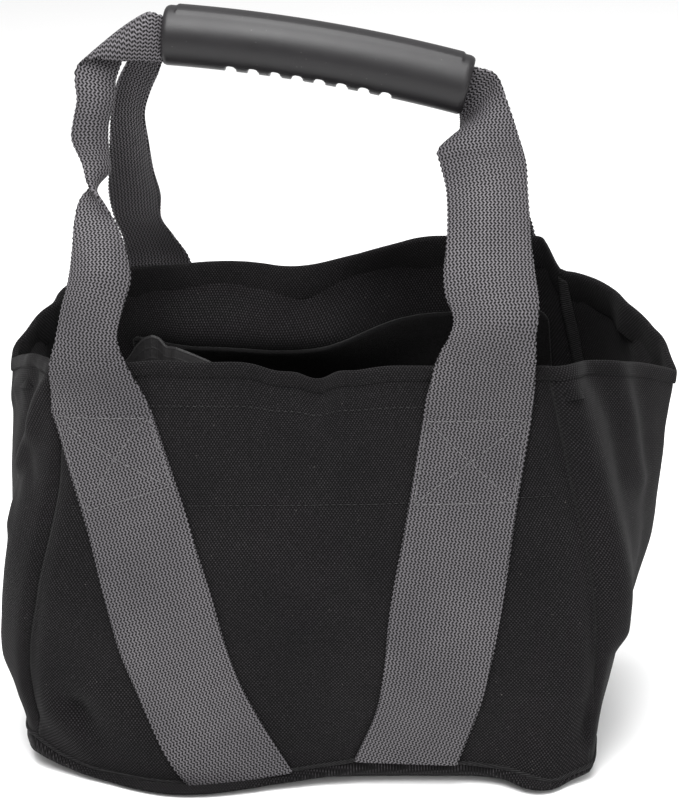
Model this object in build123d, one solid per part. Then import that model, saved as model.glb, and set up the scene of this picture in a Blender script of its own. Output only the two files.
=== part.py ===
"""Canvas sandbag with a lift-out sand liner, four webbing legs and a moulded grip.

Millimetres, +Z up, front face towards -Y, origin at the centre of the footprint on the floor.
The bag is a sewn box of canvas panels. Two webbing loops run up its faces and through the grip.
"""
from build123d import *
import math
import os

# ---- Overall sizes ----
reach = 172.0            # centre to the outermost point of either gusset
base_width = 272.0       # front panel along the bottom seam
mouth_width = 240.0      # front panel along the rim
base_depth = 150.0       # front to back at the bottom seam
belly_depth = 156.0      # front to back where the sand pushes the walls out
mouth_depth = 122.0      # front to back at the rim
rim_height = 220.0       # floor to the rim of the front and back panels
belly_height = 70.0
seam_height = 9.0        # the bottom panel sags this far below its seam

# ---- How the soft box leans and bulges ----
front_lean = -14.0       # sideways shift of the front rim
back_lean = -5.0         # sideways shift of the back rim
gusset_dip = 24.0        # the rim drops this far from a corner to the gusset's fold
left_reach_at_seam = 150.0
right_reach_at_seam = 134.0
right_reach_at_belly = 150.0
fullness_at_seam = 0.85  # how square a gusset is: 0.5 is a plain fold, 1 is a box
fullness_at_belly = 0.75
fullness_at_rim = 0.55
foot_inset = 16.0        # flat resting area inside the bottom seam

# ---- Cloth, webbing and stitching ----
canvas = 1.6
facing = 1.2             # turned-in cloth along the rim
facing_depth = 16.0
tape_width = 50.0        # hook-and-loop closure
tape_thickness = 2.0
tape_drop = 18.0         # rim to the closure tape's upper edge
tape_margin = 14.0       # corner to the closure tape's end
strap_width = 50.0
strap_thickness = 2.2
binding_proud = 1.4      # bottom seam binding stands out this far
binding_height = 5.0
corner_tape = 7.0        # legs of the taped corner seams
corner_tape_gap = 0.1
thread = 0.9
thread_proud = 0.5

# ---- Straps ----
strap_foot = 41.0        # centre line to a strap's middle at the bottom seam
left_strap_top = -105.0  # a strap's middle at the top of its sewn stretch
right_strap_top = 73.0
strap_sewn_drop = 22.0   # rim to the top of the sewn stretch
box_stitch_size = 43.0
box_stitch_drop = 28.0   # rim to the top of a box stitch
stitch_margin = 3.5      # strap edge to the box stitch

# ---- Grip ----
grip_length = 149.0
grip_diameter = 29.0
grip_bore = 22.0
grip_bend = 780.0        # radius of the grip's upward bow
grip_centre = (-6.0, 0.0, 357.0)
grip_tilt = 10.0          # degrees, left end higher
slot_count = 8
slot_pitch = 11.0
slot_gap = 5.2
slot_depth = 4.4
slot_rise = 1.3          # how far the cut is lifted, so that it opens into the bore
slot_offset = -2.0       # middle of the row of slots from the middle of the grip
rib_width = 14.0         # flat strip along the top of the grip
rib_proud = 0.9
rib_root = 3.5           # how far the rib's root sinks into the sleeve
rib_margin = 5.0
core_thickness = 5.0     # webbing folded inside the grip
core_gap = 0.4           # between the two folded straps
core_clearance = 1.3     # folded webbing to the bore

# ---- Sand liner ----
liner_skin = 0.8
liner_gap = 15.0         # outline of the bag to the liner's sides
liner_floor_gap = 0.6
liner_foot_inset = 28.0
liner_shoulder = 135.0   # height of the liner's shoulder
liner_top = 155.0
liner_top_inset = 34.0
sand_gap = 0.3
flap_size = (200.0, 52.0, 5.0)
tab_size = (26.0, 12.0, 12.0)
tab_webbing = 1.6
ear_size = (46.0, 1.2)   # a corner of the liner's spare cloth stands up by the front panel
ear_middle = -84.0
ear_gap = 6.0            # the rim's facing to the ear
ear_above_rim = 7.0
ear_radius = 12.0


def mix(a, b, t):
    return a + (b - a) * t


def rise(z):
    return (z - seam_height) / (rim_height - seam_height)


fold_share = (rim_height - gusset_dip - belly_height) / (rim_height - belly_height)
right_reach_at_rim = mix(right_reach_at_belly, reach, 1 / fold_share)

KEY_LEVELS = {
    seam_height: (base_depth, left_reach_at_seam, right_reach_at_seam, fullness_at_seam),
    belly_height: (belly_depth, reach, right_reach_at_belly, fullness_at_belly),
    rim_height: (mouth_depth, reach, right_reach_at_rim, fullness_at_rim),
}


def key_outline(z, inset):
    """The ten-sided outline at one of the key levels, anticlockwise from the front left corner."""
    full_depth, left_reach, right, fullness = KEY_LEVELS[z]
    depth, left = full_depth / 2, -left_reach
    half_width = mix(base_width, mouth_width, rise(z)) / 2
    front, back = front_lean * rise(z), back_lean * rise(z)
    front_left, front_right = front - half_width, front + half_width
    back_left, back_right = back - half_width, back + half_width
    points = [
        (front_left, -depth),
        (front_right, -depth),
        (mix(front_right, right, fullness), -depth / 2),
        (right, 0.0),
        (mix(back_right, right, fullness), depth / 2),
        (back_right, depth),
        (back_left, depth),
        (mix(back_left, left, fullness), depth / 2),
        (left, 0.0),
        (mix(front_left, left, fullness), -depth / 2),
    ]
    return shrink(points, inset)


def outline(z, inset=0.0):
    """The bag's outline at height z; the walls run straight between the key levels."""
    low, high = (seam_height, belly_height) if z <= belly_height else (belly_height, rim_height)
    t = (z - low) / (high - low)
    pairs = zip(key_outline(low, inset), key_outline(high, inset))
    return [(mix(x0, x1, t), mix(y0, y1, t)) for (x0, y0), (x1, y1) in pairs]


def half_depth(z):
    return -outline(z)[0][1]


def shrink(points, distance):
    """Move each side of a closed, anticlockwise outline inwards."""
    moved = []
    for i, (x, y) in enumerate(points):
        px, py = points[i - 1]
        nx, ny = points[(i + 1) % len(points)]
        a = math.atan2(y - py, x - px)
        b = math.atan2(ny - y, nx - x)
        half = (a + math.remainder(b - a, 2 * math.pi) / 2) + math.pi / 2
        length = distance / math.cos(math.remainder(b - a, 2 * math.pi) / 2)
        moved.append((x + length * math.cos(half), y + length * math.sin(half)))
    return moved


def polygon(points, z):
    return make_face(Polyline(*[(x, y, z) for x, y in points], close=True))


FRONT, RIGHT, BACK, LEFT = (0, 1), (1, 2, 3, 4, 5), (5, 6), (6, 7, 8, 9, 0)
GUSSETS = {"left": (-1, LEFT), "right": (1, RIGHT)}
GUSSET_CORNERS = {-1: ((-1, 0), (1, 6)), 1: ((-1, 1), (1, 5))}


def levels(low, high):
    """Heights from low to high, with the belly between them where the walls change slope."""
    return [low, belly_height, high] if low < belly_height < high else [low, high]


def wall(side, low, high, outside, inside):
    """A panel that follows one side of the bag, between two depths measured from the outline."""
    sections = []
    for z in levels(low, high):
        outer, inner = outline(z, outside), outline(z, inside)
        ring = [outer[i] for i in side] + [inner[i] for i in reversed(side)]
        sections.append(polygon(ring, z))
    return loft(sections, ruled=True)


def face_patch(facing_y, low, high, left_at, right_at, outside, inside):
    """A flat piece on the front (-1) or back (+1) face; its sides are functions of height."""
    sections = []
    for z in levels(low, high):
        near, far = facing_y * (half_depth(z) - outside), facing_y * (half_depth(z) - inside)
        ring = [(left_at(z), near), (right_at(z), near), (right_at(z), far), (left_at(z), far)]
        sections.append(polygon(ring, z))
    return loft(sections, ruled=True)


def gusset_rim_cutter(side, above):
    """Everything over a gusset's dipping rim, which falls from both corners to the fold."""
    cutter = Part()
    for facing_y, corner in GUSSET_CORNERS[side]:
        start = Vector(*outline(rim_height)[corner], rim_height + above)
        fold = Vector(side * reach, 0, rim_height + above - gusset_dip)
        run = fold - start
        level = Vector(-run.Y, run.X, 0)
        normal = run.cross(level)
        plane = Plane(start, x_dir=run, z_dir=normal if normal.Z > 0 else -normal)
        over = plane * Pos(0, 0, reach / 2) * Box(4 * reach, 4 * reach, reach)
        cutter += over & Pos(0, facing_y * reach, rim_height) * Box(4 * reach, 2 * reach, reach)
    return cutter


def make_panels():
    nodes = {
        "front_panel": wall(FRONT, seam_height, rim_height, 0, canvas),
        "back_panel": wall(BACK, seam_height, rim_height, 0, canvas),
    }
    for name, (side, corners) in GUSSETS.items():
        cutter = gusset_rim_cutter(side, 0.0)
        nodes[f"{name}_gusset"] = wall(corners, seam_height, rim_height, 0, canvas) - cutter
    return nodes


def make_bottom():
    seam = outline(seam_height)
    outer = loft([
        polygon(shrink(seam, foot_inset), 0),
        polygon(seam, seam_height),
    ], ruled=True)
    inner = loft([
        polygon(shrink(seam, foot_inset + canvas), canvas),
        polygon(shrink(seam, canvas), seam_height),
    ], ruled=True)
    binding = loft([
        polygon(shrink(seam, -binding_proud), seam_height),
        polygon(outline(seam_height + binding_height, -binding_proud), seam_height + binding_height),
    ], ruled=True)
    binding -= loft([
        polygon(seam, seam_height),
        polygon(outline(seam_height + binding_height), seam_height + binding_height),
    ], ruled=True)
    return {"bottom_panel": outer - inner, "bottom_seam_binding": binding}


def make_rim():
    low, near, far = rim_height - facing_depth, canvas, canvas + facing
    nodes = {
        "front_mouth_facing": wall(FRONT, low, rim_height, near, far),
        "back_mouth_facing": wall(BACK, low, rim_height, near, far),
    }
    for name, (side, corners) in GUSSETS.items():
        band = wall(corners, low - gusset_dip, rim_height, near, far)
        band -= gusset_rim_cutter(side, 0.0)
        nodes[f"{name}_gusset_facing"] = band & gusset_rim_cutter(side, -facing_depth)
    return nodes


def make_closure():
    high = rim_height - tape_drop
    low = high - tape_width
    nodes = {}
    for name, facing_y, corners in (("front_loop_tape", -1, (0, 1)), ("back_hook_tape", 1, (6, 5))):
        nodes[name] = face_patch(
            facing_y, low, high,
            lambda z, i=corners[0]: outline(z)[i][0] + tape_margin,
            lambda z, i=corners[1]: outline(z)[i][0] - tape_margin,
            canvas, canvas + tape_thickness,
        )
    return nodes


def make_corner_tapes():
    """A taped seam inside each of the four upright corners."""
    tapes = []
    for corner in (0, 1, 5, 6):
        sections = []
        for z in levels(seam_height, rim_height - facing_depth - tape_drop):
            ring = outline(z, canvas + corner_tape_gap)
            at = Vector(*ring[corner])
            before = (Vector(*ring[corner - 1]) - at).normalized() * corner_tape
            after = (Vector(*ring[(corner + 1) % 10]) - at).normalized() * corner_tape
            sections.append(polygon([(p.X, p.Y) for p in (at, at + after, at + before)], z))
        tapes.append(loft(sections, ruled=True))
    return {"corner_seam_tapes": Compound(children=tapes)}


STRAPS = {"front_left": (-1, -1), "front_right": (-1, 1), "rear_left": (1, -1), "rear_right": (1, 1)}
sewn_bottom = seam_height + binding_height
sewn_top = rim_height - strap_sewn_drop


def strap_top(side):
    return right_strap_top if side > 0 else left_strap_top


def strap_middle(side, z):
    return mix(side * strap_foot, strap_top(side), (z - seam_height) / (sewn_top - seam_height))


def strap_half_run(side):
    """Half the strap's width, measured level across its lean."""
    lean = math.atan2(strap_top(side) - side * strap_foot, sewn_top - seam_height)
    return strap_width / 2 / math.cos(lean)


def make_sewn_straps():
    nodes = {}
    for name, (facing_y, side) in STRAPS.items():
        half = strap_half_run(side)
        nodes[f"{name}_strap"] = face_patch(
            facing_y, sewn_bottom, sewn_top,
            lambda z, side=side, half=half: strap_middle(side, z) - half,
            lambda z, side=side, half=half: strap_middle(side, z) + half,
            -strap_thickness, 0,
        )
    return nodes


def make_box_stitches():
    """A square with both diagonals, sewn through each strap near its top."""
    slope = math.atan2((belly_depth - mouth_depth) / 2, rim_height - belly_height)
    stitches = []
    for facing_y, side in STRAPS.values():
        z = rim_height - box_stitch_drop - box_stitch_size / 2
        lean = math.atan2(strap_top(side) - side * strap_foot, sewn_top - seam_height)
        up = Vector(math.sin(lean), -facing_y * math.sin(slope) * math.cos(lean), math.cos(slope))
        out = Vector(0, facing_y * math.cos(slope), math.sin(slope))
        at = Vector(strap_middle(side, z), facing_y * (half_depth(z) + strap_thickness), z)
        plane = Plane(at, x_dir=up.cross(out), z_dir=out)
        inner = box_stitch_size - 2 * thread
        pattern = Rectangle(box_stitch_size, box_stitch_size) - Rectangle(inner, inner)
        for turn in (45, -45):
            pattern += Rot(0, 0, turn) * Rectangle(inner * math.sqrt(2), thread)
        stitches.append(extrude(plane * pattern, amount=thread_proud))
    return {"box_stitches": Compound(children=stitches)}


def make_tape_stitches():
    """The two rows that hold each closure tape, where they show between the straps."""
    rows = []
    for facing_y, corners in ((-1, (0, 1)), (1, (6, 5))):
        for drop in (tape_drop + 2 * thread, tape_drop + tape_width - 2 * thread):
            z = rim_height - drop
            clear = strap_half_run(-1) + stitch_margin
            ends = [outline(z)[corners[0]][0] + tape_margin, strap_middle(-1, z) - clear]
            ends += [strap_middle(-1, z) + clear, strap_middle(1, z) - clear]
            ends += [strap_middle(1, z) + clear, outline(z)[corners[1]][0] - tape_margin]
            for left, right in zip(ends[::2], ends[1::2]):
                if right - left > 2 * stitch_margin:
                    rows.append(face_patch(
                        facing_y, z - thread / 2, z + thread / 2,
                        lambda _, x=left: x, lambda _, x=right: x, -thread_proud, 0,
                    ))
    return {"tape_stitches": Compound(children=rows)}


grip_location = Location(grip_centre, (0, grip_tilt, 0))
bow_sag = grip_bend * (1 - math.cos(grip_length / grip_bend / 2))
core_height = 2 * math.sqrt((grip_bore / 2 - core_clearance) ** 2 - (core_gap / 2 + core_thickness) ** 2)


def bow_point(distance, height=0.0):
    """A place along the grip's bowed axis, and how far it leans there, in the grip's frame."""
    angle = distance / grip_bend
    radius = grip_bend + height
    level = bow_sag / 2 - grip_bend
    return (radius * math.sin(angle), 0.0, level + radius * math.cos(angle)), math.degrees(angle)


def bow_bar(profile, length):
    """Sweep a profile, drawn across the grip, along the bowed axis."""
    start, lean = bow_point(-length / 2)
    middle, _ = bow_point(0)
    end, _ = bow_point(length / 2)
    path = ThreePointArc(start, middle, end)
    along = Vector(math.cos(math.radians(lean)), 0, -math.sin(math.radians(lean)))
    return sweep(Plane(start, x_dir=(0, 1, 0), z_dir=along) * profile, path=path)


def make_grip():
    sleeve = bow_bar(Circle(grip_diameter / 2), grip_length)
    rib = bow_bar(
        Pos(0, (grip_diameter - rib_root) / 2) * Rectangle(rib_width, rib_root + 2 * rib_proud),
        grip_length - 2 * rib_margin,
    )
    sleeve += rib
    sleeve -= bow_bar(Circle(grip_bore / 2), grip_length)
    for i in range(slot_count):
        distance = slot_offset + (i - (slot_count - 1) / 2) * slot_pitch
        place, lean = bow_point(distance, -grip_diameter / 2)
        cut = Box(slot_gap, grip_diameter, slot_depth)
        cut += Pos(0, 0, slot_depth / 2) * Rot(90, 0, 0) * Cylinder(slot_gap / 2, grip_diameter)
        sleeve -= Pos(*place) * Rot(0, lean, 0) * Pos(0, 0, slot_rise) * cut
    nodes = {"grip_sleeve": grip_location * sleeve}
    for name, facing_y in (("front_strap_core", -1), ("rear_strap_core", 1)):
        across = facing_y * (core_gap + core_thickness) / 2
        core = bow_bar(Pos(across, 0) * Rectangle(core_thickness, core_height), grip_length)
        nodes[name] = grip_location * core
    return nodes


def grip_end(side, facing_y):
    """Where a leg meets the folded strap at the end of the grip, and the way out of the grip."""
    place, lean = bow_point(side * grip_length / 2)
    across = facing_y * (core_gap + core_thickness) / 2
    at = Vector((grip_location * Location((place[0], across, place[2]))).position)
    tilt = math.radians(grip_tilt + lean)
    return at, Vector(side * math.cos(tilt), 0, -side * math.sin(tilt))


# A leg's bends above the rim: outwards from the grip's end, height as a share of the way from
# the rim to the grip's end, share of the way in from the face, turn in degrees, and width.
LEG_BENDS = {
    -1: ((30.0, 0.30, 0.12, 2, 50.0), (34.0, 0.62, 0.40, 0, 47.0), (31.0, 0.84, 0.68, -12, 40.0),
         (24.0, 0.98, 0.86, -48, 28.0), (11.0, 1.03, 0.97, -78, 19.0)),
    1: ((13.0, 0.30, 0.12, 2, 50.0), (13.0, 0.58, 0.40, 4, 44.0), (17.0, 0.80, 0.66, 14, 34.0),
        (18.0, 0.97, 0.84, 48, 24.0), (9.0, 1.03, 0.97, 80, 18.0)),
}


def leg_section(at, turn, width, thickness):
    """A strap's cross-section at a place, its run turned in the plane of the bag's face."""
    run = Vector(math.sin(math.radians(turn)), 0, math.cos(math.radians(turn)))
    side = Vector(math.cos(math.radians(turn)), 0, -math.sin(math.radians(turn)))
    return Plane(at, x_dir=side, z_dir=run) * Rectangle(width, thickness)


def make_legs():
    """The free webbing between the bag's faces and the ends of the grip."""
    nodes = {}
    for name, (facing_y, side) in STRAPS.items():
        half = strap_half_run(side)
        sections = []
        for z in (sewn_top, rim_height + 1.0):
            near = facing_y * half_depth(z)
            far = near + facing_y * strap_thickness
            middle = strap_middle(side, z)
            left, right = middle - half, middle + half
            sections.append(polygon([(left, near), (right, near), (right, far), (left, far)], z))
        end, out = grip_end(side, facing_y)
        face_y = facing_y * (half_depth(rim_height) + strap_thickness / 2)
        area = strap_width * strap_thickness
        for outwards, share, inwards, turn, width in LEG_BENDS[side]:
            at = Vector(end.X + side * outwards, mix(face_y, end.Y, inwards), mix(rim_height, end.Z, share))
            thickness = min(core_thickness, area / width)
            sections.append(leg_section(at, -turn, width, thickness))
        sections.append(Plane(end, x_dir=(0, 1, 0), z_dir=-out) * Rectangle(core_thickness, core_height))
        nodes[f"{name}_leg"] = loft(sections, ruled=True)
    return nodes


def make_liner():
    seam = outline(seam_height)
    foot = canvas + liner_floor_gap
    shoulder_low = seam_height + foot

    def pouch(skin):
        return loft([
            polygon(shrink(seam, liner_foot_inset + skin), foot + skin),
            polygon(outline(shoulder_low, liner_gap + skin), shoulder_low),
            polygon(outline(belly_height, liner_gap + skin), belly_height),
            polygon(outline(liner_shoulder, liner_gap + skin), liner_shoulder),
            polygon(outline(liner_top, liner_top_inset + skin), liner_top - skin),
        ], ruled=True)

    length, width, height = flap_size
    flap = Pos(0, 0, liner_top + height / 2) * Box(length, width, height)
    flap = fillet(flap.edges().filter_by(Axis.Z), width / 5)
    tab_length, tab_width, tab_height = tab_size
    tab = Box(tab_length, tab_width, tab_height)
    tab -= Box(tab_length - 2 * tab_webbing, tab_width, tab_height - 2 * tab_webbing)
    ear_width, ear_skin = ear_size
    ear_bottom = liner_top + height
    ear_y = ear_gap + facing + canvas + ear_skin / 2 - half_depth(rim_height)
    ear_height = rim_height + ear_above_rim - ear_bottom
    ear_face = Plane.XZ * Rectangle(ear_width, ear_height)
    ear = extrude(ear_face, amount=ear_skin / 2, both=True)
    ear = fillet(ear.edges().filter_by(Axis.Y).group_by(Axis.Z)[-1], ear_radius)
    ear = Pos(ear_middle, ear_y, ear_bottom + ear_height / 2) * ear
    fold_front, fold_back = ear_y - ear_skin / 2, -width / 2
    fold = Box(ear_width, fold_back - fold_front, ear_skin)
    ear += Pos(ear_middle, (fold_front + fold_back) / 2, ear_bottom - ear_skin / 2) * fold
    return {
        "liner_bag": pouch(0.0) - pouch(liner_skin),
        "sand_fill": pouch(liner_skin + sand_gap),
        "liner_flap": flap,
        "liner_pull_tab": Pos(0, 0, liner_top + height + tab_height / 2) * tab,
        "liner_ear": ear,
    }


nodes = {}
nodes |= make_panels()
nodes |= make_bottom()
nodes |= make_rim()
nodes |= make_closure()
nodes |= make_corner_tapes()
nodes |= make_sewn_straps()
nodes |= make_box_stitches()
nodes |= make_tape_stitches()
nodes |= make_legs()
nodes |= make_grip()
nodes |= make_liner()

os.makedirs("parts", exist_ok=True)
for name, shape in nodes.items():
    export_step(shape, f"parts/{name}.step")
print(len(nodes), "nodes")
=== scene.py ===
"""Sandbag: canvas shell, webbing, moulded grip and sand liner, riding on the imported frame's bodies.

Lengths in the tables are millimetres in the frame's own axes, and MM turns them into metres.
"""
import math

import bmesh
import bpy
import numpy as np
from mathutils import Matrix, Vector, noise
from mathutils.bvhtree import BVHTree


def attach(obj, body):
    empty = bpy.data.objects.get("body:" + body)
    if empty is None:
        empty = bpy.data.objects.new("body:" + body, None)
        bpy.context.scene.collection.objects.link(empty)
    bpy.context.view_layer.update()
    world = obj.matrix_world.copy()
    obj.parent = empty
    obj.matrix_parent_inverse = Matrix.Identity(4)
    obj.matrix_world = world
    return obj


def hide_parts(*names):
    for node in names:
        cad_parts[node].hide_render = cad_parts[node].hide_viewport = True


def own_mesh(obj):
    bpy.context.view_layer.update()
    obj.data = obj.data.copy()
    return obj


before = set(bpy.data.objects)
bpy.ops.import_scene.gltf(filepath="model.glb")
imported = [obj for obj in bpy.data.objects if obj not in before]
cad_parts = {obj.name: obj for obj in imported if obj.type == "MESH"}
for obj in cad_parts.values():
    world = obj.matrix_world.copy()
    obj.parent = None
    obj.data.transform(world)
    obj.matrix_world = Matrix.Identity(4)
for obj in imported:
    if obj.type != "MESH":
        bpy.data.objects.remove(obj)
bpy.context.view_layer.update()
MM = 0.001


# ---------------------------------------------------------------- small tools
def clamp01(t):
    return np.clip(t, 0.0, 1.0)


def smooth(t):
    """0 to 1 with soft ends."""
    t = clamp01(t)
    return t * t * (3 - 2 * t)


def bell(distance, width):
    return np.exp(-(np.asarray(distance) / width) ** 2)


def curve(points, t):
    """A smooth curve through evenly spaced points; t runs from 0 to 1 and may be an array."""
    p = np.asarray(points, float)
    t = clamp01(np.asarray(t, float)) * (len(p) - 1)
    i = np.minimum(t.astype(int), len(p) - 2)
    f = t - i
    if p.ndim > 1:
        f = f[..., None]
    first, last = i == 0, i + 2 > len(p) - 1
    if p.ndim > 1:
        first, last = first[..., None], last[..., None]
    before = np.where(first, 2 * p[0] - p[1], p[np.maximum(i - 1, 0)])
    after = np.where(last, 2 * p[-1] - p[-2], p[np.minimum(i + 2, len(p) - 1)])
    a, b = p[i], p[i + 1]
    cubic = f * (3 * (a - b) + after - before)
    return a + 0.5 * f * (b - before + f * (2 * before - 5 * a + 4 * b - after + cubic))


def resample(line, count):
    """The same line with evenly spaced points."""
    step = np.linalg.norm(np.diff(line, axis=0), axis=1)
    run = np.concatenate([[0], np.cumsum(step)])
    want = np.linspace(0, run[-1], count)
    return np.stack([np.interp(want, run, line[:, k]) for k in range(line.shape[1])], axis=1)


def path_distance(points, path):
    """Distance from many points to a line through a few points."""
    path = np.asarray(path, float)
    best = np.full(points.shape[:-1], np.inf)
    for a, b in zip(path[:-1], path[1:]):
        d = b - a
        t = clamp01(((points - a) @ d) / (d @ d))
        best = np.minimum(best, np.linalg.norm(points - a - t[..., None] * d, axis=-1))
    return best


def soft_noise(points, size, seed):
    """Smooth noise between -1 and 1, one value for each point in millimetres."""
    flat = np.asarray(points, float).reshape(-1, 3) / size + seed * 17.3
    values = [noise.noise(Vector(p)) for p in flat]
    return np.array(values).reshape(np.asarray(points).shape[:-1])


def blur(values, along, across):
    """Repeated three-point averages down the rows and across the columns."""
    for axis, count in ((0, along), (1, across)):
        for _ in range(count):
            pad = [(1, 1) if k == axis else (0, 0) for k in range(values.ndim)]
            wide = np.pad(values, pad, mode="edge")
            low = np.take(wide, range(0, values.shape[axis]), axis)
            high = np.take(wide, range(2, values.shape[axis] + 2), axis)
            values = (low + 2 * values + high) / 4
    return values


def grid_normals(grid, closed):
    """Unit normals of a grid of points whose rows run up and whose columns run around."""
    if closed:
        across = np.roll(grid, -1, axis=1) - np.roll(grid, 1, axis=1)
    else:
        across = np.gradient(grid, axis=1)
    up = np.gradient(grid, axis=0)
    n = np.cross(across, up)
    return n / np.maximum(np.linalg.norm(n, axis=-1, keepdims=True), 1e-9)


def grid_mesh(name, grid, uv, closed=False, flip=False):
    """A mesh from rows and columns of points in millimetres, with a UV map in metres."""
    rows, cols = grid.shape[:2]
    mesh = bpy.data.meshes.new(name)
    wrap = cols if closed else cols - 1
    faces, corners = [], []
    for r in range(rows - 1):
        for c in range(wrap):
            ring = [(r, c), (r, c + 1), (r + 1, c + 1), (r + 1, c)]
            if flip:
                ring.reverse()
            faces.append([a * cols + b % cols for a, b in ring])
            corners.extend(ring)
    mesh.from_pydata((grid.reshape(-1, 3) * MM).tolist(), [], faces)
    layer = mesh.uv_layers.new(name="UVMap")
    flat = np.array([uv[a][b] for a, b in corners], float) * MM
    layer.data.foreach_set("uv", flat.ravel())
    mesh.shade_smooth()
    piece = bpy.data.objects.new(name, mesh)
    bpy.context.scene.collection.objects.link(piece)
    return piece


def metric_uv(rows, cols, row_step, col_step, extra=0):
    """UV coordinates, in millimetres, of an evenly spaced grid."""
    return [[(c * col_step, r * row_step) for c in range(cols + extra)] for r in range(rows)]


def apply_modifiers(piece):
    bpy.context.view_layer.update()
    evaluated = piece.evaluated_get(bpy.context.evaluated_depsgraph_get())
    mesh = bpy.data.meshes.new_from_object(evaluated)
    piece.modifiers.clear()
    piece.data = mesh
    return piece


def thicken(piece, thickness, offset=-1.0):
    solid = piece.modifiers.new("thickness", "SOLIDIFY")
    solid.thickness = thickness * MM
    solid.offset = offset
    solid.use_even_offset = False
    return apply_modifiers(piece)


def subdivide(piece):
    sub = piece.modifiers.new("smooth", "SUBSURF")
    sub.levels = sub.render_levels = 1
    return apply_modifiers(piece)


def dress(piece, body, material, slot, *nodes):
    """Give a piece its material, the body it rides on and the CAD nodes it stands for; slot is not used."""
    piece.data.materials.clear()
    piece.data.materials.append(material)
    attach(piece, body)
    if nodes:
        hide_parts(*nodes)
    return piece


def join(name, pieces):
    """One object from several."""
    bpy.ops.object.select_all(action="DESELECT")
    for piece in pieces:
        piece.select_set(True)
    bpy.context.view_layer.objects.active = pieces[0]
    bpy.ops.object.join()
    pieces[0].name = pieces[0].data.name = name
    return pieces[0]


# ---------------------------------------------------------------- materials
class Nodes:
    """Short calls for building a material's node tree."""

    def __init__(self, name, roughness=0.8, sheen=0.0, sheen_roughness=0.4, specular=0.5):
        self.material = bpy.data.materials.new(name)
        self.material.use_nodes = True
        self.tree = self.material.node_tree
        self.shader = self.tree.nodes["Principled BSDF"]
        self.set("Roughness", roughness)
        self.set("Sheen Weight", sheen)
        self.set("Sheen Roughness", sheen_roughness)
        self.set("Specular IOR Level", specular)

    def set(self, socket, value):
        self.shader.inputs[socket].default_value = value

    def link(self, source, target):
        self.tree.links.new(source, target)

    def math(self, operation, a, b=0.0, c=0.0, clamp=False):
        node = self.tree.nodes.new("ShaderNodeMath")
        node.operation = operation
        node.use_clamp = clamp
        for socket, value in zip(node.inputs, (a, b, c)):
            if isinstance(value, (int, float)):
                socket.default_value = value
            else:
                self.link(value, socket)
        return node.outputs[0]

    def uv(self):
        """U and V of the mesh's own map, in metres of cloth."""
        node = self.tree.nodes.new("ShaderNodeUVMap")
        node.uv_map = "UVMap"
        split = self.tree.nodes.new("ShaderNodeSeparateXYZ")
        self.link(node.outputs[0], split.inputs[0])
        return split.outputs[0], split.outputs[1]

    def noise(self, scale, detail=3.0, roughness=0.55):
        node = self.tree.nodes.new("ShaderNodeTexNoise")
        place = self.tree.nodes.new("ShaderNodeTexCoord")
        self.link(place.outputs["Object"], node.inputs["Vector"])
        node.inputs["Scale"].default_value = scale
        node.inputs["Detail"].default_value = detail
        node.inputs["Roughness"].default_value = roughness
        return node.outputs["Fac"]

    def specks(self, scale, size):
        """Small round flecks: 1 inside a fleck, 0 outside."""
        node = self.tree.nodes.new("ShaderNodeTexVoronoi")
        place = self.tree.nodes.new("ShaderNodeTexCoord")
        self.link(place.outputs["Object"], node.inputs["Vector"])
        node.inputs["Scale"].default_value = scale
        chance = self.tree.nodes.new("ShaderNodeSeparateColor")
        self.link(node.outputs["Color"], chance.inputs[0])
        rare = self.math("GREATER_THAN", chance.outputs[0], 0.93)
        return self.math("MULTIPLY", rare, self.math("LESS_THAN", node.outputs["Distance"], size))

    def ramp(self, value, stops):
        node = self.tree.nodes.new("ShaderNodeValToRGB")
        self.link(value, node.inputs[0])
        elements = node.color_ramp.elements
        while len(elements) < len(stops):
            elements.new(0.5)
        for element, (at, colour) in zip(elements, stops):
            element.position = at
            element.color = (*colour, 1.0)
        return node.outputs[0]

    def mix(self, factor, a, b, mode="MIX"):
        node = self.tree.nodes.new("ShaderNodeMix")
        node.data_type = "RGBA"
        node.blend_type = mode
        for socket, value in ((node.inputs[0], factor), (node.inputs[6], a), (node.inputs[7], b)):
            if isinstance(value, (int, float)):
                socket.default_value = value
            elif isinstance(value, tuple):
                socket.default_value = (*value, 1.0)
            else:
                self.link(value, socket)
        return node.outputs[2]

    def bump(self, height, distance, strength=1.0, under=None):
        node = self.tree.nodes.new("ShaderNodeBump")
        node.inputs["Distance"].default_value = distance
        node.inputs["Strength"].default_value = strength
        self.link(height, node.inputs["Height"])
        if under is not None:
            self.link(under, node.inputs["Normal"])
        return node.outputs[0]

    def colour(self, value):
        self.link(value, self.shader.inputs["Base Color"])

    def roughness(self, value, low, high):
        spread = self.math("MULTIPLY_ADD", value, high - low, low)
        self.link(spread, self.shader.inputs["Roughness"])

    def normal(self, value):
        self.link(value, self.shader.inputs["Normal"])


def wave(n, value, pitch):
    """Sine of a length, once every pitch."""
    return n.math("SINE", n.math("MULTIPLY", value, 2 * math.pi / pitch))


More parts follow.
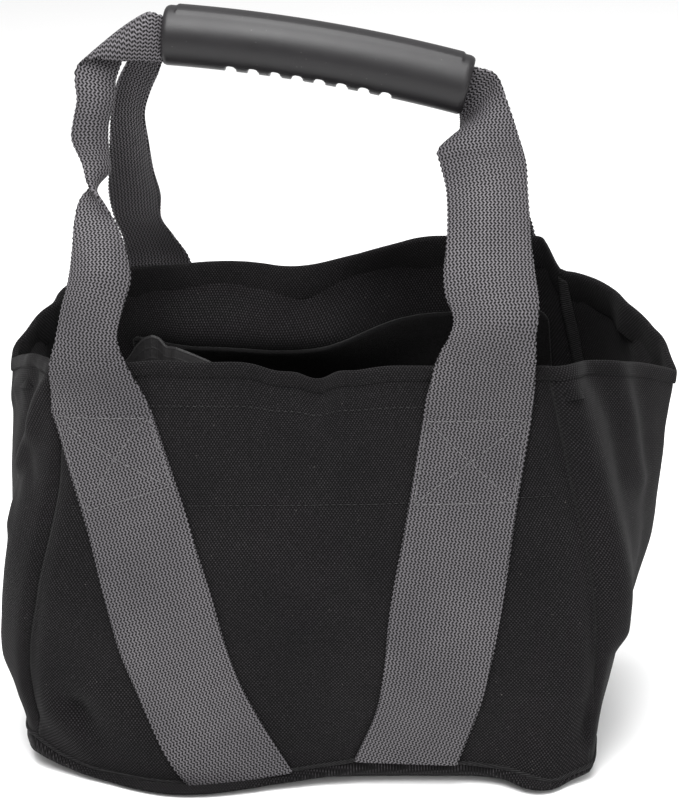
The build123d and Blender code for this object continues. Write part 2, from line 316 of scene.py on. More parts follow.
def canvas_material(name, dark, light, thread=0.00148, dusty=True):
    """Heavy plain-weave cotton: staggered thread crowns, slubs, faint dust and worn patches; the base colour
    carries a painted highlight on the crowns and painted shade in the gaps between threads.
    """
    n = Nodes(name, roughness=0.95, sheen=0.03, sheen_roughness=0.55, specular=0.08)
    u, v = n.uv()
    slub = n.noise(160.0, 2.0)
    u = n.math("ADD", u, n.math("MULTIPLY", slub, 0.00035))
    v = n.math("ADD", v, n.math("MULTIPLY", slub, -0.0003))
    crowns = n.math("MULTIPLY", wave(n, u, thread), wave(n, v, 1.4 * thread))
    crowns = n.math("MULTIPLY_ADD", crowns, 0.5, 0.5)
    weft = n.math("MULTIPLY_ADD", wave(n, v, 0.7 * thread), 0.5, 0.5)
    weave = n.math("MULTIPLY_ADD", weft, 0.2, n.math("MULTIPLY", crowns, 0.8))
    uneven = n.noise(900.0, 2.0, 0.7)
    crown = n.math("POWER", weave, 3.4)
    # painted highlight on the thread crowns and painted shade between them, carried into the base colour
    painted_weave_light = n.math("MULTIPLY", crown, n.math("MULTIPLY_ADD", uneven, 1.9, -0.25), clamp=True)
    middle = tuple(0.5 * (a + b) for a, b in zip(dark, light))
    base = n.ramp(painted_weave_light, [(0.0, dark), (0.55, middle), (1.0, light)])
    worn = n.noise(14.0, 4.0, 0.6)
    shade = n.ramp(worn, [(0.3, (0.72, 0.72, 0.74)), (0.7, (1.25, 1.24, 1.22))])
    base = n.mix(1.0, base, shade, "MULTIPLY")
    if dusty:
        fleck = n.math("MAXIMUM", n.specks(130.0, 0.05), n.specks(330.0, 0.09))
        base = n.mix(n.math("MULTIPLY", fleck, 0.3), base, (0.16, 0.15, 0.14))
    n.colour(base)
    n.roughness(weave, 0.97, 0.8)
    creases = n.bump(n.noise(34.0, 4.0, 0.6), 0.0011, 0.55)
    n.normal(n.bump(weave, 0.00032, 0.9, creases))
    return n.material


def webbing_material():
    """Heavy polypropylene webbing: rows of slanting yarns that turn back on every other row; the base colour
    carries a painted highlight on the yarns' crowns and painted shade in the gaps between them.
    """
    row, dash = 0.00268, 0.00178
    n = Nodes("webbing", roughness=0.62, sheen=0.02, sheen_roughness=0.35, specular=0.2)
    u, v = n.uv()
    wander = n.noise(70.0, 2.0)
    v = n.math("ADD", v, n.math("MULTIPLY", wander, 0.0009))
    zigzag = n.math("PINGPONG", v, row / 2)
    slant = n.math("MULTIPLY_ADD", zigzag, 0.72, u)
    yarn = n.math("MULTIPLY_ADD", wave(n, slant, dash), 0.5, 0.5)
    rows = n.math("MULTIPLY_ADD", wave(n, v, row / 2), 0.5, 0.5)
    hollow = n.math("POWER", n.math("SUBTRACT", 1.0, yarn), 1.6)
    gap = n.math("MULTIPLY", hollow, n.math("MULTIPLY_ADD", rows, 0.75, 0.25))
    weave = n.math("SUBTRACT", 1.0, gap)
    fuzz = n.noise(1400.0, 2.0, 0.7)
    # painted highlight on the yarn crowns and painted shade in the gaps, carried into the base colour
    painted_weave_light = n.math("MULTIPLY_ADD", fuzz, 0.3, n.math("MULTIPLY_ADD", weave, 1.15, -0.5), clamp=True)
    dark, grey, light = (0.0015, 0.0014, 0.0015), (0.010, 0.0095, 0.0103), (0.152, 0.143, 0.154)
    base = n.ramp(painted_weave_light, [(0.0, dark), (0.42, grey), (1.0, light)])
    tone = n.ramp(n.noise(22.0, 3.0), [(0.3, (0.85, 0.85, 0.86)), (0.7, (1.14, 1.14, 1.13))])
    n.colour(n.mix(1.0, base, tone, "MULTIPLY"))
    n.roughness(weave, 0.82, 0.5)
    n.normal(n.bump(weave, 0.00055, 1.0))
    return n.material


def thread_material(name, dark, light):
    n = Nodes(name, roughness=0.55, sheen=0.03, specular=0.25)
    twist = n.math("MULTIPLY_ADD", n.noise(1800.0, 1.0), 0.8, 0.1)
    n.colour(n.ramp(twist, [(0.2, dark), (0.8, light)]))
    n.roughness(twist, 0.7, 0.45)
    n.normal(n.bump(twist, 0.0001, 0.7))
    return n.material


def rubber_material():
    """Moulded grip: fine satin texture, a slight warm cast, and patches of hands' wear."""
    n = Nodes("grip_rubber", roughness=0.42, sheen=0.0, specular=0.36)
    grain = n.noise(2600.0, 3.0, 0.6)
    wear = n.noise(38.0, 4.0, 0.6)
    base = n.ramp(wear, [(0.25, (0.0048, 0.0043, 0.0050)), (0.75, (0.0085, 0.0075, 0.0087))])
    n.colour(n.mix(n.math("MULTIPLY", n.specks(420.0, 0.12), 0.25), base, (0.18, 0.17, 0.17)))
    n.roughness(wear, 0.36, 0.52)
    waves = n.bump(n.noise(60.0, 2.0), 0.0004, 0.35)
    n.normal(n.bump(grain, 0.00006, 0.6, waves))
    return n.material


def liner_material():
    """Close-woven coated nylon with a soft crinkle."""
    n = Nodes("liner_cloth", roughness=0.6, sheen=0.02, specular=0.2)
    crinkle = n.noise(26.0, 5.0, 0.62)
    u, v = n.uv()
    rip = n.math("MAXIMUM", wave(n, u, 0.005), wave(n, v, 0.005))
    rip = n.math("POWER", n.math("MULTIPLY_ADD", rip, 0.5, 0.5), 12.0)
    base = n.ramp(crinkle, [(0.3, (0.008, 0.0076, 0.0079)), (0.75, (0.0155, 0.0147, 0.0152))])
    n.colour(n.mix(n.math("MULTIPLY", rip, 0.15), base, (0.02, 0.019, 0.0195)))
    n.roughness(crinkle, 0.62, 0.42)
    n.normal(n.bump(rip, 0.00012, 0.6, n.bump(crinkle, 0.002, 0.6)))
    return n.material


def pile_material():
    """Loop and hook tape: a deep fuzzy black with fine random loops."""
    n = Nodes("hook_and_loop", roughness=0.95, sheen=0.06, sheen_roughness=0.3, specular=0.04)
    loops = n.noise(1500.0, 3.0, 0.75)
    n.colour(n.ramp(loops, [(0.3, (0.002, 0.002, 0.002)), (0.75, (0.014, 0.0135, 0.014))]))
    n.roughness(loops, 1.0, 0.8)
    n.normal(n.bump(loops, 0.0007, 1.0))
    return n.material


def binding_material():
    """Narrow woven tape: fine cross ribs."""
    n = Nodes("seam_binding", roughness=0.85, sheen=0.02, specular=0.08)
    u, v = n.uv()
    slant = n.math("ADD", v, n.math("MULTIPLY", u, 0.4))
    ribs = n.math("MULTIPLY_ADD", wave(n, slant, 0.0011), 0.5, 0.5)
    uneven = n.math("MULTIPLY", ribs, n.noise(700.0, 2.0))
    n.colour(n.ramp(uneven, [(0.0, (0.003, 0.003, 0.003)), (0.6, (0.026, 0.025, 0.026))]))
    n.roughness(ribs, 0.9, 0.7)
    n.normal(n.bump(ribs, 0.00025, 0.8))
    return n.material


def sand_material():
    n = Nodes("sand", roughness=0.9, specular=0.3)
    grains = n.noise(1800.0, 4.0, 0.8)
    dark, tan, pale = (0.30, 0.22, 0.14), (0.52, 0.43, 0.30), (0.72, 0.64, 0.50)
    n.colour(n.ramp(grains, [(0.25, dark), (0.6, tan), (0.85, pale)]))
    n.roughness(grains, 0.95, 0.75)
    n.normal(n.bump(grains, 0.0006, 1.0))
    return n.material


CANVAS = canvas_material("canvas", (0.0012, 0.0011, 0.0012), (0.049, 0.0452, 0.0492))
FACING = canvas_material("facing_tape", (0.0012, 0.0011, 0.0012), (0.042, 0.0388, 0.042), dusty=False)
WEBBING = webbing_material()
GREY_THREAD = thread_material("grey_thread", (0.03, 0.03, 0.031), (0.17, 0.165, 0.17))
BLACK_THREAD = thread_material("black_thread", (0.002, 0.002, 0.002), (0.012, 0.0115, 0.012))
RUBBER = rubber_material()
LINER = liner_material()
PILE = pile_material()
BINDING = binding_material()
SAND = sand_material()


# ---------------------------------------------------------------- the canvas shell
# Each upright line of the bag runs through five places from the bottom seam to the rim, in
# millimetres, evenly spaced along the cloth. Some of these numbers, and of those in SEAM_X,
# SEAM_Z, STRAPS, LEGS and EAR_TOP, began as places read by eye off the photograph, which a camera
# calculation outside this script turned into millimetres at a guessed depth. Edits came after.
# The front left strap, its leg and most of EAR_TOP's x are still close to those first numbers.
SEAM_LINES = {
    "front_left": ((-153, -66, 20), (-156, -71, 62), (-148, -72, 106), (-134, -67, 162), (-131, -61, 221)),
    "front_right": ((129, -66, 9), (133, -67, 60), (129, -64, 112), (117, -61, 168), (106, -61, 221)),
    "back_right": ((129, 70, 14), (136, 74, 62), (132, 74, 114), (122, 71, 172), (111, 66, 226)),
    "back_left": ((-140, 72, 14), (-146, 76, 60), (-142, 76, 112), (-134, 71, 170), (-126, 65, 226)),
    "left_fold": ((-166, -6, 13), (-174, -8, 58), (-174, -8, 104), (-170, -4, 152), (-168, 0, 200)),
    "right_fold": ((131, 0, 12), (142, -3, 58), (157, -5, 106), (164, -3, 154), (170, 0, 196)),
}
STEP = 3.2               # spacing of the cloth's grid
ROWS = 68
BELLY_OUT = (10.0, 12.0, 9.0, 5.0, 0.0)          # how far the front stands out between its corners
BACK_OUT = (8.0, 10.0, 7.0, 3.0, 0.0)
FRONT_ROUND = (1.1, 0.95, 0.75, 0.45, 0.10)      # how far each half of a gusset swells between
REAR_ROUND = (1.2, 1.05, 0.9, 0.75, 0.6)         # its corner and its fold: 0 is straight
SEAM_X = (-156, -142, -121, -100, -74, -21, 5, 12, 62, 86, 110, 131)
SEAM_Z = (21, 13, 7, 6, 6, 10, 14, 16, 14, 11, 5, 10)


def front_line(h):
    """Front of the bag at one height, left to right."""
    a, b = curve(SEAM_LINES["front_left"], h), curve(SEAM_LINES["front_right"], h)
    s = np.linspace(0, 1, 200)[:, None]
    line = a + (b - a) * s
    line[:, 1] -= curve(BELLY_OUT, h) * np.sin(math.pi * s[:, 0]) ** 0.6
    x = line[:, 0]
    low = smooth(1 - h / 0.3)
    line[:, 2] += low * (np.interp(x, SEAM_X, SEAM_Z) - (21 - 12 * s[:, 0]))
    rim = smooth((h - 0.8) / 0.2)
    dips = 1.5 * bell(x + 80, 14) - 5 * bell(x + 22, 12) - 9 * bell(x + 5, 9) - 3 * bell(x - 12, 12)
    line[:, 2] += rim * dips
    line[:, 1] += rim * (4 * bell(x + 30, 30) + 5 * bell(x + 5, 12))
    return line


def back_line(h):
    """Back of the bag at one height, right to left as seen from the front."""
    a, b = curve(SEAM_LINES["back_right"], h), curve(SEAM_LINES["back_left"], h)
    s = np.linspace(0, 1, 200)[:, None]
    line = a + (b - a) * s
    line[:, 1] += curve(BACK_OUT, h) * np.sin(math.pi * s[:, 0]) ** 0.6
    x = line[:, 0]
    rim = smooth((h - 0.55) / 0.45)
    pulled = smooth((x + 40) / 88) * smooth((113 - x) / 13)
    line[:, 2] += rim * (19 * pulled + 5 * bell(x + 62, 45))
    return line


def gusset_line(h, first, fold, last):
    """One folded end of the bag at one height, from its first corner to its last."""
    a, m, b = (curve(SEAM_LINES[name], h) for name in (first, fold, last))
    q = np.linspace(-1, 1, 400)
    rear = q * (b[1] - a[1]) > 0
    swell = np.where(rear, curve(REAR_ROUND, h) * (0.8 if m[0] > 0 else 1.0), curve(FRONT_ROUND, h))
    away = np.abs(q)
    out = (1 - swell) * (1 - away) + swell * (1 - away ** 2.2) ** 0.55
    drop = smooth(h * 2) * (1 - away) ** 1.6 + (1 - smooth(h * 2)) * (1 - away ** 2)
    corner = np.where(q[:, None] < 0, a, b)
    line = corner + (m - corner) * out[:, None]
    line[:, 1] = np.interp(q, [-1, 0, 1], [a[1], m[1], b[1]])
    line[:, 2] = corner[:, 2] + (m[2] - corner[:, 2]) * drop
    return line


COLS = {"front": 78, "right": 58, "back": 78, "left": 58}


def shell_grid():
    """The whole wall of the bag as one closed grid of points: rows up, columns around."""
    rows = []
    for h in np.linspace(0, 1, ROWS):
        sides = (
            resample(front_line(h), COLS["front"] + 1)[:-1],
            resample(gusset_line(h, "front_right", "right_fold", "back_right"), COLS["right"] + 1)[:-1],
            resample(back_line(h), COLS["back"] + 1)[:-1],
            resample(gusset_line(h, "back_left", "left_fold", "front_left"), COLS["left"] + 1)[:-1],
        )
        rows.append(np.concatenate(sides))
    return np.array(rows)


# Folds in the cloth: the line each one follows, its half-width, and how far it stands out.
FOLDS = (
    (((106, -63, 216), (112, -63, 190), (118, -63, 165), (129, -66, 112),
      (133, -69, 60), (128, -69, 28)), 4.0, -6.0),
    (((116, -58, 212), (126, -57, 180), (138, -56, 130), (143, -54, 80)), 10.0, 6.5),
    (((128, -46, 216), (138, -40, 190), (146, -44, 160)), 7.0, -3.0),
    (((150, -20, 196), (156, -22, 140), (152, -24, 90)), 10.0, -2.5),
    (((-131, -64, 214), (-134, -69, 165), (-148, -74, 106), (-156, -73, 60), (-155, -69, 28)), 4.0, -5.0),
    (((-136, -54, 210), (-145, -50, 184), (-156, -40, 160)), 5.0, 5.0),
    (((-146, -40, 206), (-154, -34, 186), (-164, -28, 160)), 6.0, -4.0),
    (((-148, -52, 200), (-152, -54, 160), (-163, -54, 110), (-170, -50, 60)), 12.0, 4.0),
    (((-160, -30, 200), (-166, -34, 165), (-160, -46, 130)), 5.0, 2.6),
    (((-165, 18, 190), (-172, 22, 130), (-170, 24, 80)), 9.0, -3.0),
    (((-130, -76, 42), (-118, -82, 24), (-106, -88, 8)), 5.0, -5.5),
    (((-142, -72, 36), (-128, -78, 14)), 8.0, 3.0),
    (((-150, 36, 226), (-158, 26, 190), (-160, 20, 160)), 6.0, -4.5),
    (((-163, 8, 212), (-168, 2, 180)), 5.0, 2.5),
    (((-148, -38, 220), (-158, -30, 205), (-164, -12, 190)), 5.0, 3.0),
    (((-140, -54, 214), (-152, -46, 190), (-150, -56, 160)), 5.0, -3.0),
    (((146, 40, 214), (154, 30, 188), (150, 34, 160)), 8.0, -2.5),
    (((158, 14, 208), (164, 8, 175)), 6.0, 3.0),
    (((138, -32, 214), (150, -30, 180), (154, -26, 150)), 7.0, 3.0),
    (((-118, -78, 52), (-100, -86, 30), (-84, -90, 14)), 9.0, 3.0),
    (((122, -70, 44), (128, -70, 24), (130, -68, 12)), 4.0, -2.6),
    (((150, 20, 170), (154, 30, 120), (148, 36, 70)), 9.0, -3.0),
    (((-40, -72, 190), (-38, -80, 120), (-30, -84, 50)), 16.0, -1.4),
    (((26, -72, 190), (20, -80, 120), (12, -84, 60)), 14.0, 1.4),
    (((98, -70, 205), (104, -74, 150), (106, -76, 90)), 6.0, -1.6),
    (((20, 66, 246), (-12, 66, 232), (-44, 66, 214)), 14.0, -3.0),
    (((-90, 76, 190), (-70, 84, 130), (-78, 82, 70)), 16.0, 2.2),
    (((40, 78, 200), (48, 84, 140), (40, 84, 70)), 14.0, -2.4),
    (((100, 74, 210), (96, 80, 150), (104, 80, 90)), 10.0, 2.4),
)


def fold_cloth(grid):
    """Push the folds, the slumped back and fine unevenness into the smooth shell."""
    normals = grid_normals(grid, closed=True)
    out = np.zeros(grid.shape[:2])
    for line, width, height in FOLDS:
        out += height * bell(path_distance(grid, line), width)
    x, y, z = grid[..., 0], grid[..., 1], grid[..., 2]
    out += 10.0 * bell(np.hypot((x + 80) / 1.5, z - 10), 30) * (y < -40)
    out += 6.0 * bell(np.hypot(x - 104, z - 4), 15) * (y < -40)
    back = smooth((y - 20) / 15)
    edge = smooth((z - 12) / 25) * smooth((225 - z) / 18)
    uneven = 1.5 * soft_noise(grid, 58.0, 3) + 0.8 * soft_noise(grid, 24.0, 5)
    out += edge * uneven + 0.22 * soft_noise(grid, 9.0, 9)
    grid = grid + normals * out[..., None]
    across = smooth((grid[..., 0] + 128) / 50) * smooth((44 - grid[..., 0]) / 60)
    lip = np.interp(grid[..., 2], (146, 172, 184, 192, 199, 214, 232), (0, 4, 18, 31, 29, 13, 0))
    lip = blur(lip, 2, 0)
    wander = 1 + 0.25 * soft_noise(grid, 60.0, 31)
    grid[..., 1] -= back * across * lip * wander
    return grid


shell = fold_cloth(shell_grid())
starts = np.cumsum([0] + list(COLS.values()))


def shell_piece(name, first, last):
    """Columns first to last of the shell as one cut panel."""
    columns = [c % shell.shape[1] for c in range(first, last + 1)]
    grid = shell[:, columns]
    uv = metric_uv(ROWS, len(columns), STEP, STEP)
    return grid_mesh(name, grid, uv)


CANVAS_THICK = 1.5
PANELS = ("front_panel", "right_gusset", "back_panel", "left_gusset")
for side, first, node in zip(COLS, starts, PANELS):
    piece = thicken(subdivide(shell_piece(f"{node}_canvas", first, first + COLS[side])), CANVAS_THICK)
    dress(piece, "bag", CANVAS, "canvas", node)


# ---------------------------------------------------------------- seams, hems and tapes
shell_out = grid_normals(shell, closed=True)


def close_ends(piece, merge=0.0):
    """Fill open ends, merge doubled points and face every surface outwards."""
    mesh = bmesh.new()
    mesh.from_mesh(piece.data)
    if merge:
        bmesh.ops.remove_doubles(mesh, verts=mesh.verts, dist=merge * MM)
    bmesh.ops.holes_fill(mesh, edges=[e for e in mesh.edges if e.is_boundary], sides=0)
    bmesh.ops.recalc_face_normals(mesh, faces=mesh.faces)
    mesh.to_mesh(piece.data)
    mesh.free()
    return piece


def weld(piece):
    """Merge points that lie in one place."""
    mesh = bmesh.new()
    mesh.from_mesh(piece.data)
    bmesh.ops.remove_doubles(mesh, verts=mesh.verts, dist=0.02 * MM)
    mesh.to_mesh(piece.data)
    mesh.free()
    return piece


def sweep_strip(name, spine, side, down, profile, looped=False):
    """Sweep a closed profile of (outwards, down) places along a line of cloth."""
    if looped:
        spine, side, down = (np.concatenate([v, v[:1]]) for v in (spine, side, down))
    profile = np.asarray(profile, float)
    grid = spine[:, None] + side[:, None] * profile[:, 0, None] + down[:, None] * profile[:, 1, None]
    around = np.concatenate([[0], np.cumsum(np.linalg.norm(np.diff(profile, axis=0), axis=1))])
    along = np.concatenate([[0], np.cumsum(np.linalg.norm(np.diff(spine, axis=0), axis=1))])
    uv = [[(s, a) for a in list(around) + [around[-1] + 1]] for s in along]
    piece = grid_mesh(name, grid, uv, closed=True)
    return close_ends(piece, merge=0.02 if looped else 0.0)


def finer(line, times):
    """The same line with more places on it, smoothly."""
    return curve(line, np.linspace(0, 1, times * (len(line) - 1) + 1))


HEM = ((0.1, 5.8), (0.55, 5.6), (0.8, 4.6), (0.85, 3), (0.8, 1), (0.6, -0.4), (0.0, -1.2), (-0.8, -1.5),
       (-1.7, -1.2), (-2.3, -0.4), (-2.6, 1), (-2.6, 4), (-1.75, 16), (-1.65, 16.2), (-1.55, 16), (-1.55, 1),
       (-0.8, 0.6), (0.02, 1), (0.02, 5.6))
for side, first, panel in zip(COLS, starts, ("front", "right_gusset", "back", "left_gusset")):
    columns = [c % shell.shape[1] for c in range(first, first + COLS[side] + 1)]
    rim, below = shell[-1, columns], shell[-3, columns]
    down = (below - rim) / np.linalg.norm(below - rim, axis=1, keepdims=True)
    node = f"{panel}_facing" if "gusset" in panel else f"{panel}_mouth_facing"
    hem = sweep_strip(f"{panel}_hem", *(finer(v, 3) for v in (rim, shell_out[-2, columns], down)), HEM)
    dress(hem, "bag", FACING, "facing_tape", node)

PIPING = [(0.1 + 1.1 * math.cos(a), 1.3 * math.sin(a)) for a in np.linspace(0, 2 * math.pi, 10)[:-1]]
foot, above = shell[0], shell[2]
down = (foot - above) / np.linalg.norm(foot - above, axis=1, keepdims=True)
piping = sweep_strip("bottom_piping", foot, shell_out[0] * (1, 1, 0), down, PIPING, looped=True)
dress(piping, "bag", BINDING, "seam_binding", "bottom_seam_binding")


BASE_LIFT = 0.4          # keeps the base's underside just above the floor
# The base's rings, with the share of the seam's height each keeps: first by how far inwards they
# go in millimetres, then by how much they shrink towards the middle.
ROLL = ((0, 1), (0.8, 0.86), (2, 0.68), (4, 0.46), (6.5, 0.26))
FLAT = ((0.97, 0.1), (0.93, 0.03), (0.87, 0), (0.7, 0), (0.5, 0), (0.3, 0), (0.12, 0), (0, 0))


def bottom_panel():
    """The base: rolls in under the seam, then lies flat on the floor."""
    rings = []
    middle = np.array([foot[:, 0].mean(), 0.0])
    outwards = shell_out[0, :, :2] / np.linalg.norm(shell_out[0, :, :2], axis=1, keepdims=True)
    front_left = bell(foot[:, 0] + 72, 60) * (foot[:, 1] < 0)
    front_right = bell(foot[:, 0] - 100, 16) * (foot[:, 1] < 0)
    for inwards, height in ROLL:
        ring = foot.copy()
        swell = (3.0 + 10.0 * front_left + 7 * front_right) * math.sin(math.pi * inwards / 8)
        ring[:, :2] -= outwards * (inwards - swell[:, None])
        ring[:, 2] = BASE_LIFT + (foot[:, 2] - BASE_LIFT) * height
        rings.append(ring)
    for scale, height in FLAT:
        ring = rings[len(ROLL) - 1].copy()
        ring[:, :2] = middle + (ring[:, :2] - middle) * scale
        ring[:, 2] = BASE_LIFT + (foot[:, 2] - BASE_LIFT) * height
        rings.append(ring)
    grid = np.array(rings)
    uv = [[(p[0], p[1]) for p in np.concatenate([row, row[:1]])] for row in grid]
    piece = weld(grid_mesh("base_canvas", grid, uv, closed=True, flip=True))
    piece = thicken(piece, CANVAS_THICK)
    for vertex in piece.data.vertices:
        vertex.co.z = max(vertex.co.z, BASE_LIFT * MM)
    return piece


dress(bottom_panel(), "bag", CANVAS, "canvas", "bottom_panel")


def lining_strip(name, rows, columns, depth, thickness):
    """A tape sewn to the inside of the shell over some of its rows and columns."""
    columns = [c % shell.shape[1] for c in columns]
    patch = np.ix_(list(rows), columns)
    grid = shell[patch] - shell_out[patch] * depth
    piece = grid_mesh(name, grid, metric_uv(len(grid), len(columns), STEP, STEP))
    return thicken(subdivide(piece), thickness)


LOOP_ROWS, HOOK_ROWS = (46, 62), (41, 57)        # rows of the shell behind the closure's tapes
seams = [lining_strip(f"corner_tape_{c}", range(2, ROWS - 1), (c - 1, c, c + 1), 1.8, 0.9) for c in starts]
dress(join("corner_tapes", seams), "bag", BINDING, "seam_binding", "corner_seam_tapes")
loop = lining_strip("loop_tape", range(*LOOP_ROWS), range(5, COLS["front"] - 4), 1.7, 2.0)
dress(loop, "bag", PILE, "hook_and_loop", "front_loop_tape")
hook = lining_strip("hook_tape", range(*HOOK_ROWS), range(starts[2] + 5, starts[3] - 4), 1.7, 2.0)
dress(hook, "bag", PILE, "hook_and_loop", "back_hook_tape")


# ---------------------------------------------------------------- webbing
ACROSS = np.sin(np.linspace(-1, 1, 23) * math.pi / 2)
RUN_STEP = 0.9
WEBBING_THICK = 2.1


def surface_tree(grid):
    rows, cols = grid.shape[:2]
    faces = [
        (r * cols + c, r * cols + (c + 1) % cols, (r + 1) * cols + (c + 1) % cols, (r + 1) * cols + c)
        for r in range(rows - 1) for c in range(cols)
    ]
    return BVHTree.FromPolygons([Vector(p) for p in grid.reshape(-1, 3)], faces)


shell_tree = surface_tree(shell)


def lay_on_face(grid, facing_y, lift):
    """Move a flat strip along y until it rests on the front or back of the bag."""
    rest = np.full(grid.shape[:2], np.nan)
    for r in range(len(grid) - 1, -1, -1):
        for c in range(grid.shape[1]):
            x, _, z = grid[r, c]
            hit = shell_tree.ray_cast(Vector((x, facing_y * 200, z)), Vector((0, -facing_y, 0)))[0]
            if hit is not None and hit.y * facing_y > 20:
                rest[r, c] = hit.y * facing_y
            elif r + 1 < len(grid):
                rest[r, c] = rest[r + 1, c]
    draped = np.maximum(blur(rest, 60, 6), rest)
    grid = grid.copy()
    grid[..., 1] = facing_y * (blur(draped, 8, 2) + lift)
    return grid


def edge_strip(left, right, bow=None):
    """A strip of cloth between two edges, each a line through a few places."""
    fine = np.linspace(0, 1, 60 * len(left))
    left, right = curve(left, fine), curve(right, fine)
    length = max(np.linalg.norm(np.diff(0.5 * (left + right), axis=0), axis=1).sum(), 1)
    middle = 0.5 * (left + right)
    run = np.concatenate([[0], np.cumsum(np.linalg.norm(np.diff(middle, axis=0), axis=1))])
    want = np.linspace(0, run[-1], int(length / RUN_STEP))
    pick = lambda line: np.stack([np.interp(want, run, line[:, k]) for k in range(3)], axis=1)
    left, right = pick(left), pick(right)
    t = 0.5 * (ACROSS + 1)
    grid = left[:, None] + (right - left)[:, None] * t[:, None]
    if bow is not None:
        n = grid_normals(grid, closed=False)
        amount = np.interp(want / run[-1], np.linspace(0, 1, len(bow)), bow)
        grid = grid + n * (amount[:, None] * (1 - ACROSS ** 2))[..., None]
    return grid


def strap_solid(name, grid, thickness=WEBBING_THICK):
    """Webbing with rounded, scalloped edges on a grid of points; rows run along the strap."""
    middle = grid[:, len(ACROSS) // 2]
    tangent = np.gradient(blur(middle[:, None], 250, 0)[:, 0], axis=0)
    tangent /= np.linalg.norm(tangent, axis=1, keepdims=True)
    run = np.concatenate([[0], np.cumsum(np.linalg.norm(np.diff(middle, axis=0), axis=1))])
    offset = grid - middle[:, None]
    along = np.einsum("rck,rk->rc", offset, tangent)
    beside = np.sign(ACROSS) * np.linalg.norm(offset - along[..., None] * tangent[:, None], axis=2)
    v = run[:, None] + along
    side = offset / np.maximum(np.linalg.norm(offset, axis=2, keepdims=True), 1e-6)
    loops = 0.35 * np.sin(v * 2 * math.pi / 2.7) * (np.abs(ACROSS) > 0.96)
    grid = grid + side * loops[..., None]
    half = thickness / 2 * np.sqrt(1 - np.abs(ACROSS) ** 16)
    n = grid_normals(grid, closed=False)
    front, back = grid + n * half[:, None], grid - n * half[:, None]
    ring = np.concatenate([front, back[:, -2:0:-1]], axis=1)
    places = np.stack([beside, v], axis=2)
    uv = np.concatenate([places, places[:, -2:0:-1], places[:, :1]], axis=1)
    return close_ends(grid_mesh(name, ring, uv, closed=True)), front


# Edges of the sewn straps from the bottom seam up to where they leave the bag, as (x, z), and
# the side they are on: -1 front, 1 back.
STRAPS = {
    "front_left": (((-73, 1), (-88, 28), (-106, 78), (-119, 138), (-135, 198)),
                   ((-21, 9), (-46, 62), (-60, 113), (-72, 156), (-84, 198)), -1),
    "front_right": (((10, 15), (24, 53), (30, 100), (38, 145), (47, 198)),
                    ((62, 13), (75, 52), (84, 96), (91, 145), (99, 198)), -1),
    "rear_left": (((-75, 14), (-92, 50), (-107, 100), (-119, 150), (-131, 198)),
                  ((-24, 12), (-44, 56), (-60, 105), (-72, 152), (-82, 198)), 1),
    "rear_right": (((12, 14), (24, 53), (30, 100), (38, 145), (47, 198)),
                   ((63, 13), (75, 52), (84, 96), (91, 145), (99, 198)), 1),
}
strap_tops, strap_fronts = {}, {}
for name, (left, right, facing_y) in STRAPS.items():
    flat = [np.array([(x, 0, z) for x, z in edge], float) for edge in (left, right)]
    if facing_y > 0:
        flat.reverse()
    strip = edge_strip(*flat)
    strip = lay_on_face(strip, facing_y, WEBBING_THICK / 2 + 0.25)
    strap_tops[name] = strip[-1]
    piece, strap_fronts[name] = strap_solid(f"{name}_webbing", strip)
    dress(piece, "bag", WEBBING, "webbing", f"{name}_strap")

